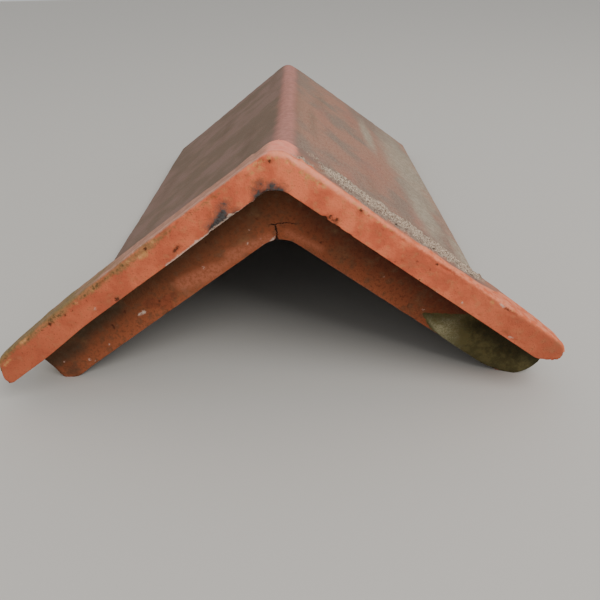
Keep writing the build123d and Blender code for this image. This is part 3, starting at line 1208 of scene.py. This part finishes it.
@dataclass(frozen=True)
class FiredClay:
    """Red clay pressed in a mould and fired without a glaze, then left outdoors for many years.

    It gives the eye a dull, grainy surface with no shine: orange where the cap's face stayed
    clean, brown, mauve and grey where weather and lichen had it, and painted near black inside as painted shade.

    Attributes:
        bright: The cap's clean face.
        deep: Its darker clouds.
        ochre: Its yellowish clouds.
        dim: Its duller ends.
        speck: Dark sand, on the face and the outside.
        brown: The weathered outside on the left, kept darker as the slope in painted shade.
        mauve: The outside's broad clouds.
        right_brown_lit: The weathered outside on the right, redder, and painted lighter as painted light from the
            right.
        shoulder_low: The shoulder near its edge.
        shoulder_left_shaded: The shoulder near the cap, on the left: darker clay, deepened as painted shade under
            the cap.
        shoulder_right_shaded: The shoulder near the cap, on the right: redder, darker clay, deepened as painted
            shade under the cap.
        grime: Dirt on the shoulder.
        inside: The hollow behind the shoulder, painted near black as painted shade.
        crack: The crack in the shoulder.
        roughness: How dull the surface is.
        shine: The specular level, half of the usual one because the clay is porous.
        relief: The depth of the fine grain, in millimetres.
    """

    bright: str = "#EE7F58"
    deep: str = "#CC6142"
    ochre: str = "#CC8A58"
    dim: str = "#A25337"
    speck: str = "#7C412A"
    brown: str = "#7A6655"
    mauve: str = "#8B7063"
    right_brown_lit: str = "#AE7660"
    shoulder_low: str = "#A65B3B"
    shoulder_left_shaded: str = "#593722"
    shoulder_right_shaded: str = "#52281A"
    grime: str = "#54402A"
    inside: str = "#2A1B14"
    crack: str = "#150D08"
    roughness: float = 0.92
    shine: float = 0.25
    relief: float = 0.5

    def material(self) -> bpy.types.Material:
        """The procedural material, on the tile's own coordinates and masks.

        Returns:
            The finished material.
        """
        m = ClayShader("fired_clay_pressed_weathered")
        on_outside = m.add(Kind.STEP, m.add(Kind.MASK, attribute_name="outside"), 0.25, 0.6, 0, 1)
        on_face = m.add(Kind.STEP, m.add(Kind.MASK, attribute_name="face"), 0.3, 0.7, 0, 1)
        # painted shade: all but the face, the shoulder and the outside take the near-black hollow colour
        colour = m.add(Kind.BLEND, m.on_shoulder, linear(self.inside), self.shoulder(m))
        colour = m.add(Kind.BLEND, on_outside, colour, self.outside(m))
        colour = m.add(Kind.BLEND, on_face, colour, self.face(m))
        for coat in COATS:
            colour = coat.over(m, colour)
        colour = self.cracked(m, colour)
        grain = m.add(Kind.TIMES_PLUS, m.noise[0.8], 0.6, m.noise[1.6])
        grain = m.add(Kind.BUMP, grain, 0.7, self.relief * MM)
        m.add(Kind.OUTPUT, m.add(Kind.SURFACE, colour, self.roughness, self.shine, grain))
        return m.material

    def face(self, m: ClayShader) -> Socket:
        """The clean clay of the cap's face: faint clouds, duller ends, and dark sand where it is dull.

        Args:
            m: The material.

        Returns:
            The colour.
        """
        dim = m.add(Kind.MASK, attribute_name="dim")
        clouds = m.add(Kind.STEP, m.noise[14], 0.35, 0.65, 0, 1)
        flecks = m.add(Kind.STEP, m.noise[4], 0.5, 0.68, 0, 0.35)
        fresh = m.add(Kind.BLEND, clouds, linear(self.bright), linear(self.deep))
        fresh = m.add(Kind.BLEND, flecks, fresh, linear(self.ochre))
        fresh = m.add(Kind.BLEND, m.add(Kind.TIMES, dim, 0.75), fresh, linear(self.dim))
        sand = m.add(Kind.STEP, m.noise[0.8], 0.56, 0.72, 0, 1)
        sand = m.add(Kind.TIMES, sand, m.add(Kind.TIMES_PLUS, dim, 0.5, 0.35))
        return m.add(Kind.BLEND, sand, fresh, linear(self.speck))

    def outside(self, m: ClayShader) -> Socket:
        """The weathered outside, redder and painted lighter on the right as painted light from that side, in broad
        clouds and with dark sand.

        Args:
            m: The material.

        Returns:
            The colour.
        """
        # painted light: the right slope takes a redder colour painted lighter, and the left one stays darker as
        # painted shade
        brown = m.add(Kind.BLEND, m.right, linear(self.brown), linear(self.right_brown_lit))
        outer = m.add(Kind.BLEND, m.add(Kind.STEP, m.noise[60], 0.42, 0.6, 0, 1), brown, linear(self.mauve))
        return m.add(Kind.BLEND, m.add(Kind.STEP, m.noise[1.6], 0.5, 0.75, 0, 0.32), outer, linear(self.speck))

    def shoulder(self, m: ClayShader) -> Socket:
        """The shoulder: darker towards the cap, partly darker clay and partly painted shade under the cap; grimy;
        and with painted shade on its right.

        Args:
            m: The material.

        Returns:
            The colour.
        """
        # painted shade: the shoulder darkens up towards the cap's underside, partly also darker clay
        low = m.add(Kind.TIMES_PLUS, m.noise[4], 0.5, m.add(Kind.MASK, attribute_name="low"))
        low = m.add(Kind.STEP, low, 0.35, 1.25, 0, 1)
        high = m.add(Kind.BLEND, m.right, linear(self.shoulder_left_shaded), linear(self.shoulder_right_shaded))
        shoulder = m.add(Kind.BLEND, low, high, linear(self.shoulder_low))
        shoulder = m.add(Kind.BLEND, m.add(Kind.STEP, m.noise[1.6], 0.48, 0.7, 0, 0.5), shoulder, high)
        for size, share in ((14, 0.25), (4, 0.5)):
            dirt = m.add(Kind.STEP, m.noise[size], 0.5, 0.66, 0, share)
            shoulder = m.add(Kind.BLEND, dirt, shoulder, linear(self.grime))
        # painted shade: the shoulder's right side is drawn back to its darker colour near the cap
        right_shade = m.add(Kind.TIMES, m.add(Kind.MASK, attribute_name="right_shade"), 0.4)
        return m.add(Kind.BLEND, right_shade, shoulder, high)

    def cracked(self, m: ClayShader, under: Socket) -> Socket:
        """The shoulder's crack: up from its edge, then across.

        Each run is dark where its mask, shaken by the fine pattern, is within a width of 0, and
        it begins and ends softly along its own direction.

        Args:
            m: The material.
            under: The colour that it breaks.

        Returns:
            The colour with the crack in it.
        """
        for name, along, begins, ends, width in (
            ("crack_up", m.height, (0, 0.001), (0.0895, 0.0908), 0.6),
            ("crack_across", m.across, (-0.0065, -0.003), (0.002, 0.0135), 0.36),
        ):
            line = m.add(Kind.TIMES_PLUS, m.noise[1.6], 2.2, -1.1)
            line = m.add(Kind.TIMES_PLUS, m.add(Kind.MASK, attribute_name=name), 1.0, line)
            line = m.add(Kind.STEP, m.add(Kind.SIZE, line), width, width * 0.3, 0, 1)
            line = m.add(Kind.TIMES, line, m.add(Kind.STEP, along, *begins, 0, 1))
            line = m.add(Kind.TIMES, line, m.add(Kind.STEP, along, *ends, 1, 0))
            line = m.add(Kind.TIMES, line, m.on_shoulder)
            under = m.add(Kind.BLEND, line, under, linear(self.crack))
        return under


# The studio

@dataclass(frozen=True)
class PlainFloor:
    """A studio floor under rolled matt paint: pale and even, with no shine and no pattern.

    Attributes:
        colour: The paint.
        roughness: How dull it is.
        half: Half the floor's side, in metres.
    """

    colour: str = "#CFCAC2"
    roughness: float = 0.9
    half: float = 4.0

    def build(self) -> None:
        """Lays the floor under the tile's bed. It is no part of the tile."""
        h = self.half
        mesh = bpy.data.meshes.new("floor")
        mesh.from_pydata([(-h, -h, 0), (h, -h, 0), (h, h, 0), (-h, h, 0)], [], [(0, 1, 2, 3)])
        floor = bpy.data.objects.new("floor", mesh)
        bpy.context.scene.collection.objects.link(floor)
        m = Shader("pale_floor_matt_paint")
        m.add(Kind.OUTPUT, m.add(Kind.SURFACE, linear(self.colour), self.roughness))
        mesh.materials.append(m.material)


@dataclass(frozen=True)
class SoftLight:
    """A broad area lamp.

    Attributes:
        name: Its name.
        place: Where it hangs, in metres.
        width: Its disc's width, in metres.
        power: Its power, in watts.
        aim: What it looks at, in metres.
    """

    name: str
    place: tuple[float, float, float]
    width: float
    power: float
    aim: tuple[float, float, float] = (0, 0, 0.05)

    def build(self) -> None:
        """Hangs the lamp and turns it to its aim."""
        data = bpy.data.lights.new(self.name, "AREA")
        data.shape, data.size, data.energy = "DISK", self.width, self.power
        lamp = bpy.data.objects.new(self.name, data)
        lamp.location = self.place
        lamp.rotation_euler = (Vector(self.aim) - Vector(self.place)).to_track_quat("-Z", "Y").to_euler()
        bpy.context.scene.collection.objects.link(lamp)


@dataclass(frozen=True)
class PhotoCamera:
    """The photo's camera, fitted to the tile's edges.

    Attributes:
        place: Where it stands, in millimetres.
        down: How far it looks down, in degrees.
        roll: Its turn about its own view, in degrees.
        yaw: Its turn to the right, in degrees.
        lens: Its focal length, in millimetres.
        sensor: Its sensor's width, in millimetres.
    """

    place: tuple[float, float, float] = (12.1, -478.9, 203.4)
    down: float = 29.48
    roll: float = -1.18
    yaw: float = -0.58
    lens: float = 36.06
    sensor: float = 36

    def build(self) -> None:
        """Makes the scene's camera from its view's own right, up and ahead."""
        down, roll, yaw = (math.radians(a) for a in (self.down, self.roll, self.yaw))
        ahead = Vector((math.sin(yaw) * math.cos(down), math.cos(yaw) * math.cos(down), -math.sin(down)))
        level = Vector((math.cos(yaw), -math.sin(yaw), 0))
        over = level.cross(ahead)
        right = level * math.cos(roll) + over * math.sin(roll)
        up = over * math.cos(roll) - level * math.sin(roll)
        data = bpy.data.cameras.new("camera")
        data.lens, data.sensor_width = self.lens, self.sensor
        camera = bpy.data.objects.new("camera", data)
        turn = Matrix((right, up, -ahead)).transposed().to_4x4()
        camera.matrix_world = Matrix.Translation(Vector(self.place) * MM) @ turn
        bpy.context.scene.collection.objects.link(camera)
        bpy.context.scene.camera = camera


def sky(strength: float) -> None:
    """An even, faint light from all round.

    Args:
        strength: How bright it is.
    """
    world = bpy.data.worlds.new("studio")
    world.use_nodes = True
    background = world.node_tree.nodes["Background"]
    background.inputs["Color"].default_value = linear("#EEF0F2")
    background.inputs["Strength"].default_value = strength
    bpy.context.scene.world = world


def main() -> None:
    """Builds the tile, its finish and the studio."""
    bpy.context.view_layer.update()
    tile = WornTile(RidgeTile()).build(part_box("ridge_tile"))
    log.info("%s: %d vertices, %d faces", tile.name, len(tile.data.vertices), len(tile.data.polygons))
    tile.data.materials.append(FiredClay().material())
    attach(tile, "root")
    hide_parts("ridge_tile")
    PlainFloor().build()
    SoftLight("key", (0.9, -1.3, 1.6), 1.4, 26).build()
    sky(0.75)
    PhotoCamera().build()


if __name__ == "__main__":
    main()
